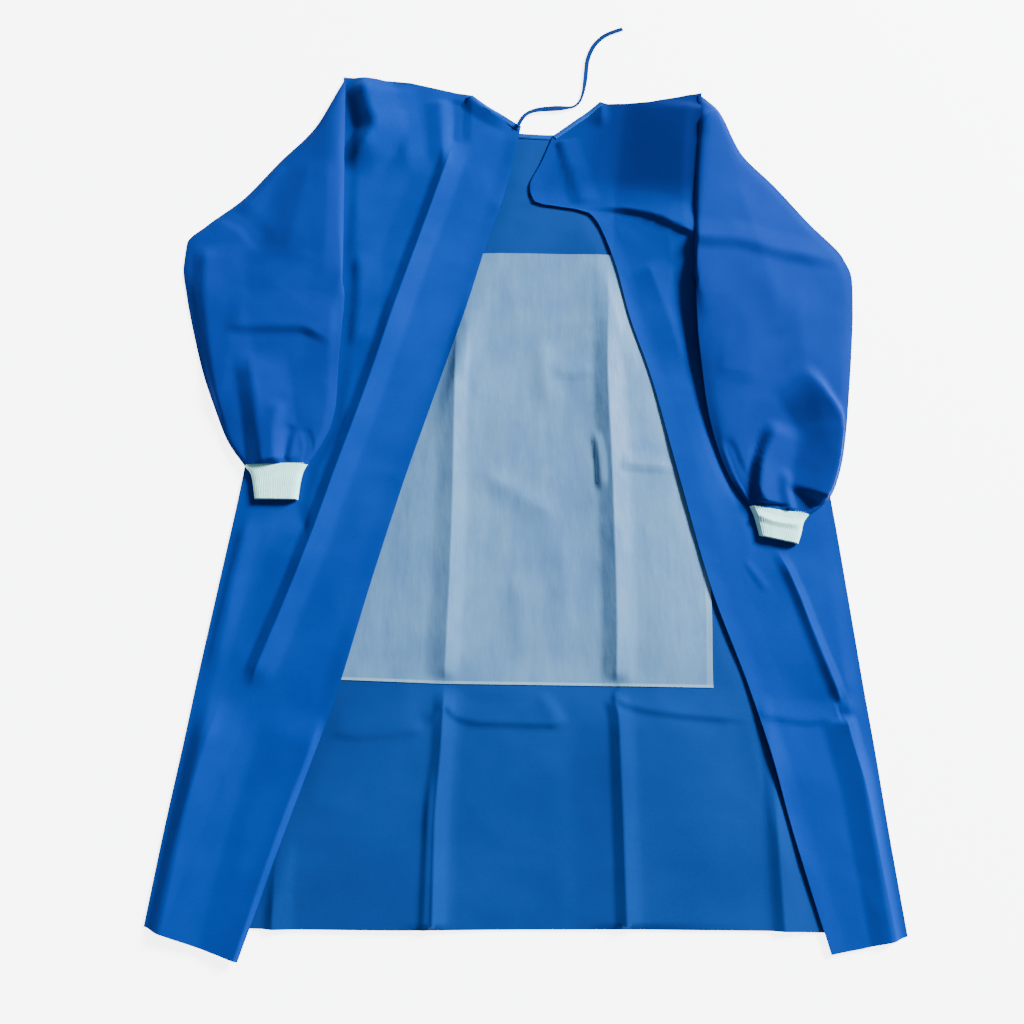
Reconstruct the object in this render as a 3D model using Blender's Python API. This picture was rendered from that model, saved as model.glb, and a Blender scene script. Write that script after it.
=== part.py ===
"""Surgical gown, laid out flat on its front with the open back upward.

The tables hold millimetres: +X is the right of the laid gown, +Y runs to the neck
and +Z up from the surface. Each panel is a cloth wall worked out from sections across
it, and each sleeve or cuff a flattened tube worked out from rings. The whole is moved
at the end, so that the middle of its outline on the surface is the origin.
"""

import bmesh
import bpy

# Cloth and the stack that it makes on the surface
WALL = 1.0
GAP = 0.3
PATCH_LIFT = WALL + GAP
BACK_LIFT = 2 * (WALL + GAP)
SLEEVE_LIFT = 3 * (WALL + GAP)
KNIT_WALL = 1.3
SLEEVE_HOLLOW = 2.4
FOLD_HOLLOW = 0.6
BINDING_WIDTH = 9.0
TIE_WIDTH = 8.0
TIE_STEPS = 3
LAYOUT_MIDDLE = (6.5, 130.0)

# Where folds end: how far from an edge they are down to nothing, and over what distance
# they reach their height. A sleeve comes down off the body in the same way.
OPEN_START, OPEN_FADE = 8.0, 34.0
BESIDE_START, BESIDE_FADE = 22.5, 30.0
BELOW_START, BELOW_FADE = 30.0, 40.0
SLEEVE_START, SLEEVE_FADE = 22.0, 30.0
ARMPIT_Y = 300.0
INNER_LIFT_SHARE = 0.35

# Side of the body with the armhole above it, from shoulder tip to hem: x, y
LEFT_SIDE = (
    (-266, 711), (-263, 610), (-258, 490), (-262, 398), (-342, 308), (-354, 200),
    (-368, 45), (-385, -90), (-402, -222), (-411, -298), (-424, -400), (-436, -508),
)
RIGHT_SIDE = (
    (298, 681), (287, 605), (276, 490), (280, 398), (388, 290), (408, 180),
    (431, 25), (440, -105), (448, -235), (453, -305), (459, -405), (467, -519),
)

# Front panel sections at the same stations: left edge of the patch, which becomes the
# first crease below it, second crease, third crease, right edge of the patch, which
# becomes the fourth crease below it
FRONT_LINES = (
    ((-160, 700), (-66, 675), (137, 658), (215, 659)),
    ((-165, 600), (-72, 590), (142, 580), (216, 592)),
    ((-200, 492), (-80, 490), (148, 486), (236, 486)),
    ((-243, 397), (-86, 395), (150, 392), (257, 391)),
    ((-244, 308), (-88, 305), (149, 300), (258, 293)),
    ((-245, 198), (-88, 195), (147, 192), (260, 188)),
    ((-246, 45), (-85, 45), (144, 42), (261, 36)),
    ((-246, -92), (-84, -95), (139, -98), (261, -105)),
    ((-245, -221), (-83, -227), (133, -230), (256, -232)),
    ((-262, -300), (-86, -302), (133, -302), (298, -304)),
    ((-278, -400), (-88, -402), (133, -402), (321, -404)),
    ((-282, -511), (-88, -512), (134, -511), (321, -513)),
)
FRONT_ACROSS = (4, 4, 6, 3, 4)
FRONT_DOWN = (4, 3, 3, 3, 3, 4, 4, 4, 3, 3, 4)
PATCH_TOP, PATCH_BOTTOM = 3, 8
NECK_DROP = 65.0

# Left back panel: its crease and its free edge, with the height of the free edge
LEFT_BACK = (
    ((-66, 674), (14, 614), 1), ((-80, 592), (3, 560), 2), ((-112, 488), (-12, 492), 4),
    ((-142, 396), (-38, 408), 4), ((-168, 302), (-68, 298), 3), ((-201, 200), (-99, 198), 3),
    ((-248, 55), (-146, 45), 4), ((-290, -72), (-184, -92), 3), ((-334, -235), (-219, -228), 5),
    ((-350, -305), (-242, -302), 3), ((-370, -408), (-274, -398), 3), ((-402, -519), (-320, -545), 3),
)
# Right back panel: free edge, line through the lip of the tuck, crease, height of the
# free edge. The fourth and fifth rows are the lip of the tuck and its foot.
RIGHT_BACK = (
    ((63, 597), (137, 657), (215, 659), 1), ((46, 553), (128, 580), (208, 592), 4),
    ((27, 508), (140, 515), (207, 510), 6), ((34, 481), (150, 470), (212, 450), 8),
    ((114, 462), (152, 459), (213, 436), 1), ((148, 388), (182, 380), (232, 360), 3),
    ((169, 290), (206, 285), (262, 280), 3), ((196, 195), (232, 192), (285, 188), 3),
    ((229, 40), (262, 38), (306, 34), 5), ((262, -108), (290, -108), (326, -107), 4),
    ((300, -228), (335, -232), (381, -234), 6), ((320, -305), (362, -305), (414, -305), 4),
    ((341, -404), (378, -405), (431, -405), 3), ((374, -538), (408, -532), (446, -524), 3),
)
RIGHT_BACK_SIDE = RIGHT_SIDE[:3] + ((276, 440), (278, 420), (290, 378)) + RIGHT_SIDE[4:]
LEFT_BACK_ACROSS, LEFT_BACK_DOWN = (6, 5), 4
RIGHT_BACK_ACROSS, RIGHT_BACK_DOWN = (3, 3, 5), 3

# Sleeve rings from the armhole to the cuff: edge on the body, outer edge, bow
LEFT_SLEEVE = (
    ((-247, 345), (-262, 706), 0), ((-245, 338), (-302, 615), 0), ((-243, 329), (-355, 553), 0),
    ((-242, 317), (-407, 486), 0), ((-242, 302), (-454, 444), 0), ((-243, 284), (-482, 412), 0),
    ((-244, 260), (-483, 374), 0), ((-245, 230), (-473, 324), 0), ((-245, 195), (-456, 262), 0),
    ((-245, 160), (-437, 203), 0), ((-250, 125), (-415, 150), 0), ((-262, 95), (-391, 99), 0),
    ((-279, 66), (-365, 64), 0),
)
RIGHT_SLEEVE = (
    ((264, 345), (293, 676), -7), ((264, 338), (316, 643), -5), ((264, 330), (328, 605), -3),
    ((263, 320), (346, 560), -1), ((263, 305), (394, 506), 0), ((263, 287), (441, 444), 0),
    ((263, 265), (487, 387), 0), ((264, 240), (497, 352), 0), ((266, 212), (493, 303), 0),
    ((268, 182), (484, 240), 0), ((271, 150), (473, 175), 0), ((277, 112), (462, 115), 0),
    ((289, 66), (448, 60), 0), ((304, 30), (427, 16), 0), ((321, 6), (398, -5), 0),
)
LEFT_CUFF = (
    ((-280, 65.6), (-364, 63.6), 0), ((-283, 50), (-356, 48), 0),
    ((-287, 32), (-351, 31), 0), ((-289, 16), (-347, 17), 0),
)
RIGHT_CUFF = (
    ((321, 5.6), (397, -5.4), 0), ((323, -8), (392, -18), 0),
    ((327, -22), (386, -32), 0), ((330, -34), (380, -45), 0),
)
RING_COLUMNS = 12

# Largest folds, as ridges: height, half width, then the points of the crest
FRONT_FOLDS = (
    (7, 30, ((-276, -385), (-282, -540))),
    (7, 34, ((-88, 330), (-85, 86), (-83, -235))),
    (7, 32, ((-87, -290), (-88, -540))),
    (7, 34, ((150, 430), (146, 86), (133, -235))),
    (7, 32, ((133, -290), (134, -540))),
    (7, 30, ((321, -330), (321, -540))),
    (5, 26, ((-240, -262), (-83, -250), (126, -250), (300, -258))),
)
LEFT_BACK_FOLDS = (
    (9, 30, ((-80, 590), (-122, 455), (-170, 298), (-224, 130), (-281, -41), (-336, -239))),
    (7, 30, ((-420, -262), (-336, -239), (-240, -272))),
    (6, 30, ((-300, -300), (-345, -540))),
)
RIGHT_BACK_FOLDS = (
    (11, 46, ((20, 488), (88, 479), (150, 470), (212, 450), (250, 430))),
    (6, 30, ((72, 584), (103, 500))),
    (9, 34, ((311, -72), (333, -121), (357, -172), (381, -234))),
    (8, 34, ((414, -305), (431, -405), (446, -524))),
    (6, 26, ((300, -256), (448, -258))),
)
LEFT_SLEEVE_FOLDS = (
    (8, 40, ((-440, 330), (-410, 420), (-330, 520))),
    (7, 34, ((-400, 285), (-300, 288), (-258, 262))),
    (8, 30, ((-350, 215), (-330, 100))),
    (8, 40, ((-262, 640), (-258, 480), (-255, 350))),
)
RIGHT_SLEEVE_FOLDS = (
    (8, 40, ((300, 620), (290, 500), (278, 370))),
    (7, 34, ((300, 420), (420, 410))),
    (9, 34, ((352, 215), (360, 100), (378, 40))),
    (8, 30, ((460, 200), (440, 70))),
)

# Path of the neck tie's middle line: x, y, height of its underside
TIE_PATH = (
    (9, 613, 6.8), (17, 630, 6.2), (27, 642, 3.2), (46, 649, 1), (69, 650, 2), (93, 653, 1),
    (106, 665, 0.2), (112, 684, 0), (116, 710, 0), (119, 738, 0), (129, 768, 0), (150, 792, 0),
    (178, 805, 0),
)

MATERIALS = {
    "nonwoven_blue": (0.01, 0.11, 0.46, 1.0),
    "patch_film": (0.31, 0.46, 0.60, 1.0),
    "knit_white": (0.58, 0.80, 0.78, 1.0),
    "binding_blue": (0.02, 0.14, 0.50, 1.0),
    "tie_navy": (0.02, 0.04, 0.20, 1.0),
}


def clamp(value):
    return min(1.0, max(0.0, value))


def ease(value):
    """Smooth step from 0 to 1."""
    value = clamp(value)
    return value * value * (3 - 2 * value)


def smooth_line(values, counts):
    """Values at the stations, filled in between them without running past any."""
    steps = [b - a for a, b in zip(values, values[1:])]
    slopes = [steps[0]]
    for before, after in zip(steps, steps[1:]):
        turn = before * after
        slopes.append(2 * turn / (before + after) if turn > 0 else 0.0)
    slopes.append(steps[-1])
    line = [values[0]]
    for i, count in enumerate(counts):
        for k in range(1, count + 1):
            t = k / count
            line.append(
                values[i] * (1 + 2 * t) * (1 - t) ** 2 + slopes[i] * t * (1 - t) ** 2
                + values[i + 1] * t * t * (3 - 2 * t) - slopes[i + 1] * t * t * (1 - t)
            )
    return line


def smooth_path(points, counts):
    """The same for points, a coordinate at a time."""
    return list(zip(*(smooth_line(axis, counts) for axis in zip(*points))))


def panel_grid(sections, across, down):
    """Rows of points across a panel, through the lines that its sections name."""
    lines = [smooth_path(line, down) for line in zip(*sections)]
    grid = []
    for row in zip(*lines):
        points = [row[0]]
        for count, a, b in zip(across, row, row[1:]):
            for k in range(1, count + 1):
                t = k / count
                points.append((a[0] + (b[0] - a[0]) * t, a[1] + (b[1] - a[1]) * t))
        grid.append(points)
    return grid


def x_on(line, y):
    """Where a line that runs down the layout crosses this y."""
    if y >= line[0][1]:
        return line[0][0]
    for a, b in zip(line, line[1:]):
        if b[1] <= y:
            return a[0] + (b[0] - a[0]) * (a[1] - y) / (a[1] - b[1])
    return line[-1][0]


def fold_height(folds, x, y):
    """Height of the tallest fold over this point, as a rounded ridge."""
    best = 0.0
    for height, half, crest in folds:
        for (ax, ay), (bx, by) in zip(crest, crest[1:]):
            dx, dy = bx - ax, by - ay
            t = clamp(((x - ax) * dx + (y - ay) * dy) / (dx * dx + dy * dy))
            away = ((x - ax - t * dx) ** 2 + (y - ay - t * dy) ** 2) ** 0.5
            best = max(best, height * ease(1 - away / half))
    return best


def new_object(name, points, faces, material):
    """A closed mesh from points in the layout, in metres about the origin."""
    mesh = bpy.data.meshes.new(name)
    middle_x, middle_y = LAYOUT_MIDDLE
    mesh.from_pydata(
        [((x - middle_x) / 1000, (y - middle_y) / 1000, z / 1000) for x, y, z in points], [], faces
    )
    shape = bmesh.new()
    shape.from_mesh(mesh)
    bmesh.ops.recalc_face_normals(shape, faces=shape.faces)
    shape.to_mesh(mesh)
    shape.free()
    mesh.materials.append(material)
    obj = bpy.data.objects.new(name, mesh)
    bpy.context.scene.collection.objects.link(obj)
    return obj


def triangles(loop):
    a, b, c, d = loop
    return [(a, b, c), (a, c, d)]


def wall(name, grid, lower, material):
    """Cloth wall on a grid of points, whose underside has the heights in lower."""
    rows, columns = len(grid), len(grid[0])
    count = rows * columns
    points = [(x, y, lower[r][c]) for r, row in enumerate(grid) for c, (x, y) in enumerate(row)]
    points += [(x, y, z + WALL) for x, y, z in points]
    faces = []
    for r in range(rows - 1):
        for c in range(columns - 1):
            a = r * columns + c
            quad = (a, a + 1, a + 1 + columns, a + columns)
            faces += triangles(quad)
            faces += triangles([count + i for i in (quad[0], quad[3], quad[2], quad[1])])
    rim = [c for c in range(columns)]
    rim += [r * columns + columns - 1 for r in range(1, rows)]
    rim += [(rows - 1) * columns + c for c in range(columns - 2, -1, -1)]
    rim += [r * columns for r in range(rows - 2, 0, -1)]
    for a, b in zip(rim, rim[1:] + rim[:1]):
        faces += triangles((a, count + a, count + b, b))
    return new_object(name, points, faces, material)


def tube(name, rings, material):
    """Closed wall from pairs of rings: the outer one and the hollow's."""
    size = len(rings[0][0])
    points, faces = [], []
    for outer, inner in rings:
        points += outer + inner
    step = 2 * size
    for r in range(len(rings) - 1):
        for k in range(size):
            a, b = r * step + k, r * step + (k + 1) % size
            faces += triangles((a, b, b + step, a + step))
            faces += triangles((a + size, a + size + step, b + size + step, b + size))
    for first in (0, (len(rings) - 1) * step):
        for k in range(size):
            a, b = first + k, first + (k + 1) % size
            faces += triangles((a, a + size, b + size, b))
    return new_object(name, points, faces, material)


def flat_rings(sections, counts, under, thickness):
    """Rings of a flattened tube between its two long edges, resting on under(x, y)."""
    near = smooth_path([row[0] for row in sections], counts)
    far = smooth_path([row[1] for row in sections], counts)
    bows = smooth_line([row[2] for row in sections], counts)
    rings = []
    for (ax, ay), (bx, by), bow in zip(near, far, bows):
        width = ((bx - ax) ** 2 + (by - ay) ** 2) ** 0.5
        outer, hollow = ([], []), ([], [])
        for k in range(RING_COLUMNS + 1):
            s = 0.5 - 0.5 * (1 - 2 * k / RING_COLUMNS) * (1 + 0.3 * (1 - abs(1 - 2 * k / RING_COLUMNS)))
            room = FOLD_HOLLOW + (SLEEVE_HOLLOW - FOLD_HOLLOW) * (1 - abs(2 * s - 1) ** 3)
            x = ax + (bx - ax) * s + bow * 4 * s * (1 - s)
            y = ay + (by - ay) * s
            low = under(x, y)
            inset = thickness / width * ((k == 0) - (k == RING_COLUMNS))
            hx, hy = x + (bx - ax) * inset, y + (by - ay) * inset
            outer[0].append((x, y, low))
            outer[1].append((x, y, low + 2 * thickness + room))
            hollow[0].append((hx, hy, low + thickness))
            hollow[1].append((hx, hy, low + thickness + room))
        rings.append([lower + upper[::-1] for lower, upper in (outer, hollow)])
    return rings


def make_material(name, colour):
    material = bpy.data.materials.new(name)
    material.use_nodes = True
    shader = material.node_tree.nodes["Principled BSDF"]
    shader.inputs["Base Color"].default_value = colour
    shader.inputs["Roughness"].default_value = 0.7
    return material


def front_neck():
    """Columns of the front under its neck binding, short of the shoulder seams."""
    first = sum(FRONT_ACROSS[:2])
    return range(first + 1, first + FRONT_ACROSS[2])


def front_grid():
    sections = [(left, *lines, right) for left, lines, right in zip(LEFT_SIDE, FRONT_LINES, RIGHT_SIDE)]
    grid = panel_grid(sections, FRONT_ACROSS, FRONT_DOWN)
    first = sum(FRONT_ACROSS[:2])
    for r in range(FRONT_DOWN[0]):
        fade = 1 - r / FRONT_DOWN[0]
        for k in range(1, FRONT_ACROSS[2]):
            x, y = grid[r][first + k]
            drop = NECK_DROP * (1 - abs(2 * k / FRONT_ACROSS[2] - 1) ** 3)
            grid[r][first + k] = (x, y - drop * fade)
    set_binding_row(grid, front_neck())
    return grid


def front_height(x, y):
    """The front lies flat where another panel covers it, and folds only in the open."""
    left = x_on([row[1] for row in LEFT_BACK], y)
    right = x_on([row[0] for row in RIGHT_BACK[4:]], y)
    room = ease((x - left - OPEN_START) / OPEN_FADE) * ease((right - x - OPEN_START) / OPEN_FADE)
    return room * fold_height(FRONT_FOLDS, x, y)


def back_height(x, y, folds, cover, side):
    """A back panel lies flat under its sleeve, and its folds stand clear of it."""
    beside = ease(((x - x_on(cover, y)) * side - BESIDE_START) / BESIDE_FADE)
    below = ease((cover[-1][1] - BELOW_START - y) / BELOW_FADE)
    return max(beside, below) * fold_height(folds, x, y)


def back_heights(grid, folds, cover, side, free_edge):
    """Underside of a back panel, let down to the front at the side and shoulder seams."""
    seam = 0 if side > 0 else -1
    heights = []
    for r, row in enumerate(grid):
        line = []
        for x, y in row:
            line.append(BACK_LIFT + back_height(x, y, folds, cover, side))
        line[-1 - seam] += free_edge[r]
        line[-2 if side > 0 else 1] += INNER_LIFT_SHARE * free_edge[r]
        if row[seam][1] < ARMPIT_Y:
            line[seam] = PATCH_LIFT
        heights.append(line)
    return heights


def body_edge(side_line, side):
    """Height that a sleeve lies on: the panels, or the surface beyond them."""
    def under(x, y, folds):
        beyond = (x_on(side_line, y) - x) * side
        return SLEEVE_LIFT * (1 - ease((beyond - SLEEVE_START) / SLEEVE_FADE)) + fold_height(folds, x, y)
    return under


def set_binding_row(grid, columns):
    """Moves the second row of a panel to the inner edge of its neck binding."""
    for c in columns:
        (x, y), (nx, ny) = grid[0][c], grid[2][c]
        share = BINDING_WIDTH / ((nx - x) ** 2 + (ny - y) ** 2) ** 0.5
        grid[1][c] = (x + (nx - x) * share, y + (ny - y) * share)


def lay_binding(name, grid, lower, columns, material):
    """Binding on the first two rows of a panel, with the panel's points moved out."""
    rows = [[grid[r][c] for c in columns] for r in (0, 1)]
    heights = [[lower[r][c] + WALL + GAP for c in columns] for r in (0, 1)]
    wall(name, rows, heights, material)


def build_body(looks):
    grid = front_grid()
    lower = [[front_height(x, y) for x, y in row] for row in grid]
    wall("front_panel", grid, lower, looks["nonwoven_blue"])

    top, bottom = sum(FRONT_DOWN[:PATCH_TOP]), sum(FRONT_DOWN[:PATCH_BOTTOM])
    first, last = FRONT_ACROSS[0], sum(FRONT_ACROSS[:4])
    part = [row[first:last + 1] for row in grid[top:bottom + 1]]
    raised = [[z + PATCH_LIFT for z in row[first:last + 1]] for row in lower[top:bottom + 1]]
    wall("reinforcement_patch", part, raised, looks["patch_film"])

    lay_binding("neck_binding_front", grid, lower, front_neck(), looks["binding_blue"])


def build_backs(looks):
    down = [LEFT_BACK_DOWN] * (len(LEFT_BACK) - 1)
    sections = [(side, crease, edge) for side, (crease, edge, _) in zip(LEFT_SIDE, LEFT_BACK)]
    grid = panel_grid(sections, LEFT_BACK_ACROSS, down)
    neck = range(LEFT_BACK_ACROSS[0], len(grid[0]))
    set_binding_row(grid, neck)
    free = smooth_line([row[2] for row in LEFT_BACK], down)
    cover = [row[0] for row in LEFT_SLEEVE + LEFT_CUFF]
    lower = back_heights(grid, LEFT_BACK_FOLDS, cover, 1, free)
    wall("back_left", grid, lower, looks["nonwoven_blue"])
    lay_binding("neck_binding_left", grid, lower, neck, looks["binding_blue"])

    down = [RIGHT_BACK_DOWN] * (len(RIGHT_BACK) - 1)
    down[3] = 1
    sections = [row[:3] + (side,) for side, row in zip(RIGHT_BACK_SIDE, RIGHT_BACK)]
    grid = panel_grid(sections, RIGHT_BACK_ACROSS, down)
    neck = range(RIGHT_BACK_ACROSS[0] + 1)
    set_binding_row(grid, neck)
    free = smooth_line([row[3] for row in RIGHT_BACK], down)
    cover = [row[0] for row in RIGHT_SLEEVE + RIGHT_CUFF]
    lower = back_heights(grid, RIGHT_BACK_FOLDS, cover, -1, free)
    wall("back_right", grid, lower, looks["nonwoven_blue"])
    lay_binding("neck_binding_right", grid, lower, neck, looks["binding_blue"])


def build_tie(looks):
    """Flat strap, with its sections square to its path and level on the surface."""
    path = smooth_path(TIE_PATH, [TIE_STEPS] * (len(TIE_PATH) - 1))
    grid, lower = [], []
    for i, (x, y, z) in enumerate(path):
        (ax, ay, _), (bx, by, _) = path[max(i - 1, 0)], path[min(i + 1, len(path) - 1)]
        long = ((bx - ax) ** 2 + (by - ay) ** 2) ** 0.5
        ox, oy = (by - ay) / long * TIE_WIDTH / 2, (ax - bx) / long * TIE_WIDTH / 2
        grid.append([(x - ox, y - oy), (x + ox, y + oy)])
        lower.append([z, z])
    wall("neck_tie", grid, lower, looks["tie_navy"])


def build_sleeves(looks):
    for side, sections, cuff, line, folds in (
        ("left", LEFT_SLEEVE, LEFT_CUFF, LEFT_SIDE, LEFT_SLEEVE_FOLDS),
        ("right", RIGHT_SLEEVE, RIGHT_CUFF, RIGHT_SIDE, RIGHT_SLEEVE_FOLDS),
    ):
        left = side == "left"
        base = body_edge(line, 1 if left else -1)
        counts = [2] * (len(sections) - 1)
        rings = flat_rings(sections, counts, lambda x, y: base(x, y, folds), WALL)
        tube("sleeve_" + side, rings, looks["nonwoven_blue"])
        rings = flat_rings(cuff, [1] * (len(cuff) - 1), lambda x, y: base(x, y, ()), KNIT_WALL)
        tube("cuff_" + side, rings, looks["knit_white"])


for old in list(bpy.data.objects):
    bpy.data.objects.remove(old)
LOOKS = {name: make_material(name, colour) for name, colour in MATERIALS.items()}
build_body(LOOKS)
build_backs(LOOKS)
build_sleeves(LOOKS)
build_tie(LOOKS)
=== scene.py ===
"""Looks of a surgical gown laid out flat on its front, with the open back upward.

Sizes are in millimetres of the layout: x to the right, y to the neck, z up from the surface.
"""

import math

import bpy
import numpy as np
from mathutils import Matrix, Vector


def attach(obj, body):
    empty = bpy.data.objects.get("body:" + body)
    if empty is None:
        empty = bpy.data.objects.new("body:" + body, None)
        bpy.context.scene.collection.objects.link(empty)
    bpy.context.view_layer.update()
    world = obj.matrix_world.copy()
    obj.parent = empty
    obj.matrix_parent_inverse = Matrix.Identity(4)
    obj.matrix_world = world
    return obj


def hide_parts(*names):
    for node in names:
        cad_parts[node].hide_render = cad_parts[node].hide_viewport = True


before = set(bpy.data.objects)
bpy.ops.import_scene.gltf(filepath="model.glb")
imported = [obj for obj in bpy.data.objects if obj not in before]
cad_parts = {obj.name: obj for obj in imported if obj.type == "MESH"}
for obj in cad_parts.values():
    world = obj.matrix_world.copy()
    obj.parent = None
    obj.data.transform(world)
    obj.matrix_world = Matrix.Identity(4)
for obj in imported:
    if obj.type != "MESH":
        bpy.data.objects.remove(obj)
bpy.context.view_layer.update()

# Surface, camera and light. The gown lies on a plain pale surface, seen from its hem side,
# 15 degrees off straight down and a little over a metre away. A window from the upper right
# shows the creases, and the room's cooler light fills their shadows.
MM = 0.001
layout_middle = np.array([6.5, 130.0])
tilt = math.radians(15)
view_distance = 1.075
look_x, look_y = -layout_middle * MM

camera_data = bpy.data.cameras.new("camera")
camera_data.lens = 28
camera_data.sensor_width = 36
camera = bpy.data.objects.new("camera", camera_data)
camera.location = (
    look_x, look_y - view_distance * math.sin(tilt), view_distance * math.cos(tilt)
)
camera.rotation_euler = (tilt, 0, 0)
bpy.context.scene.collection.objects.link(camera)
bpy.context.scene.camera = camera

floor_half, floor_level = 6, -0.001
floor_mesh = bpy.data.meshes.new("floor")
floor_corners = [
    (x * floor_half, y * floor_half, floor_level) for x, y in ((-1, -1), (1, -1), (1, 1), (-1, 1))
]
floor_mesh.from_pydata(floor_corners, [], [(0, 1, 2, 3)])
floor = bpy.data.objects.new("floor", floor_mesh)
bpy.context.scene.collection.objects.link(floor)
floor_material = bpy.data.materials.new("pale_surface")
floor_material.use_nodes = True
floor_shader = floor_material.node_tree.nodes["Principled BSDF"]
floor_shader.inputs["Base Color"].default_value = (0.95, 0.95, 0.95, 1)
floor_shader.inputs["Roughness"].default_value = 0.9
floor_shader.inputs["Emission Color"].default_value = (1, 1, 1, 1)
floor_shader.inputs["Emission Strength"].default_value = 5.0
floor_mesh.materials.append(floor_material)


def soft_lamp(name, size, power, colour, place):
    """A square lamp of this size, aimed at the middle of the gown."""
    lamp = bpy.data.lights.new(name, "AREA")
    lamp.size = size
    lamp.energy = power
    lamp.color = colour
    holder = bpy.data.objects.new(name, lamp)
    holder.location = place
    holder.rotation_euler = (-Vector(place)).to_track_quat("-Z", "Y").to_euler()
    bpy.context.scene.collection.objects.link(holder)


soft_lamp("window", size=2.0, power=3750, colour=(0.94, 0.98, 1.0), place=(6.0, 4.2, 3.75))
soft_lamp("ceiling", size=3.0, power=6, colour=(0.85, 0.9, 1.0), place=(-0.6, -0.4, 2.6))

world = bpy.data.worlds.new("room")
world.use_nodes = True
room_light = world.node_tree.nodes["Background"]
room_light.inputs["Color"].default_value = (0.68, 0.78, 1.0, 1)
room_light.inputs["Strength"].default_value = 0.3
bpy.context.scene.world = world

# Front panel. The body front is cut from blue spunbond nonwoven, with half armholes and a
# neck scoop. It lies inside up, and keeps the creases of the package that it was folded in.
LEFT_SIDE = (
    (-266, 711), (-263, 610), (-258, 490), (-262, 398), (-342, 308), (-354, 200),
    (-368, 45), (-385, -90), (-402, -222), (-411, -298), (-424, -400), (-436, -508),
)
RIGHT_SIDE = (
    (298, 681), (287, 605), (276, 490), (280, 398), (388, 290), (408, 180),
    (431, 25), (440, -105), (448, -235), (453, -305), (459, -405), (467, -519),
)
# Sections from shoulder to hem: left edge of the patch and first crease, second crease,
# third crease, right edge of the patch and fourth crease.
FRONT_LINES = (
    ((-160, 700), (-66, 675), (137, 658), (215, 659)),
    ((-165, 600), (-72, 590), (142, 580), (216, 592)),
    ((-200, 492), (-80, 490), (148, 486), (236, 486)),
    ((-243, 397), (-80, 395), (140, 392), (257, 391)),
    ((-244, 308), (-80, 305), (138, 300), (258, 293)),
    ((-245, 198), (-80, 195), (134, 192), (260, 188)),
    ((-246, 45), (-80, 45), (136, 42), (261, 36)),
    ((-246, -92), (-82, -95), (136, -98), (261, -105)),
    ((-245, -221), (-86, -227), (133, -230), (256, -232)),
    ((-262, -300), (-88, -302), (134, -302), (298, -304)),
    ((-280, -400), (-94, -402), (135, -402), (322, -404)),
    ((-282, -511), (-94, -512), (135, -511), (321, -513)),
)
FRONT_ACROSS = (26, 34, 48, 26, 26)
FRONT_DOWN = (15, 17, 16, 15, 18, 26, 24, 23, 18, 20, 22)
NECK_DROP = 65.0
NECK_ROUNDNESS = 3
COLUMN_CROWDING = 0.11
CREASE_STEPS = 6
LEAST_FADE = 0.001
SHARP_FOLD = math.radians(50)
cloth_thick = 0.4
cloth_loft = 1.0
front_level = 0.6


def ease(t):
    """Smooth step from 0 to 1."""
    t = np.clip(t, 0, 1)
    return t * t * (3 - 2 * t)


def smooth_line(values, counts):
    """Fills in between stations without running past any of them."""
    values = np.asarray(values, float)
    steps = np.diff(values, axis=0)
    turn = steps[:-1] * steps[1:]
    total = steps[:-1] + steps[1:]
    inner = np.where(turn > 0, 2 * turn / np.where(total == 0, 1, total), 0)
    slopes = np.concatenate([steps[:1], inner, steps[-1:]])
    rows = [values[:1]]
    for i, count in enumerate(counts):
        t = (np.arange(1, count + 1) / count).reshape((-1,) + (1,) * (values.ndim - 1))
        rows.append(
            values[i] * (1 + 2 * t) * (1 - t) ** 2 + slopes[i] * t * (1 - t) ** 2
            + values[i + 1] * t * t * (3 - 2 * t) - slopes[i + 1] * t * t * (1 - t)
        )
    return np.concatenate(rows)


def panel_points(lines, across, down):
    """Grid of points through lines that run down a panel, closest together at the lines."""
    lines = [smooth_line(line, down) for line in lines]
    columns = [lines[0]]
    for count, a, b in zip(across, lines, lines[1:]):
        for k in range(1, count + 1):
            share = k / count - COLUMN_CROWDING * math.sin(2 * math.pi * k / count)
            columns.append(a + (b - a) * share)
    grid = np.stack(columns, axis=1)
    return grid[..., 0].copy(), grid[..., 1].copy()


def crease(x, y, height, left, right, sharp, ends, points):
    """Fold along a line, a trough if its height is below 0, which fades at its ends.

    Its flanks reach so far to the line's left and right, for someone who looks down it
    from the neck at the hem; a line from left to right has them below and above it.
    """
    line = smooth_line(points, [CREASE_STEPS] * (len(points) - 1))
    steps = np.diff(line, axis=0)
    lengths = np.hypot(steps[:, 0], steps[:, 1])
    before = np.concatenate([[0], np.cumsum(lengths)])
    best = np.full(x.shape, 1e9)
    side, along = np.zeros(x.shape), np.zeros(x.shape)
    for (ax, ay), (dx, dy), length, run in zip(line, steps, lengths, before):
        t = np.clip(((x - ax) * dx + (y - ay) * dy) / length**2, 0, 1)
        ox, oy = x - ax - t * dx, y - ay - t * dy
        away = np.hypot(ox, oy)
        near = away < best
        best = np.where(near, away, best)
        side = np.where(near, dx * oy - dy * ox, side)
        along = np.where(near, run + t * length, along)
    u = along / before[-1]
    form = np.clip(1 - best / np.where(side > 0, right, left), 0, 1) ** sharp
    start, end = (max(share, LEAST_FADE) for share in ends)
    return height * form * ease(u / start + LEAST_FADE) * ease((1 - u) / end + LEAST_FADE)


def swell(x, y, at, reach, height, turn):
    """Broad soft rise or hollow, reaching so far along and across its own axis."""
    c, s = math.cos(math.radians(turn)), math.sin(math.radians(turn))
    dx, dy = x - at[0], y - at[1]
    along, across = (dx * c + dy * s) / reach[0], (dy * c - dx * s) / reach[1]
    return height * np.exp(-(along**2) - across**2)


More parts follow.
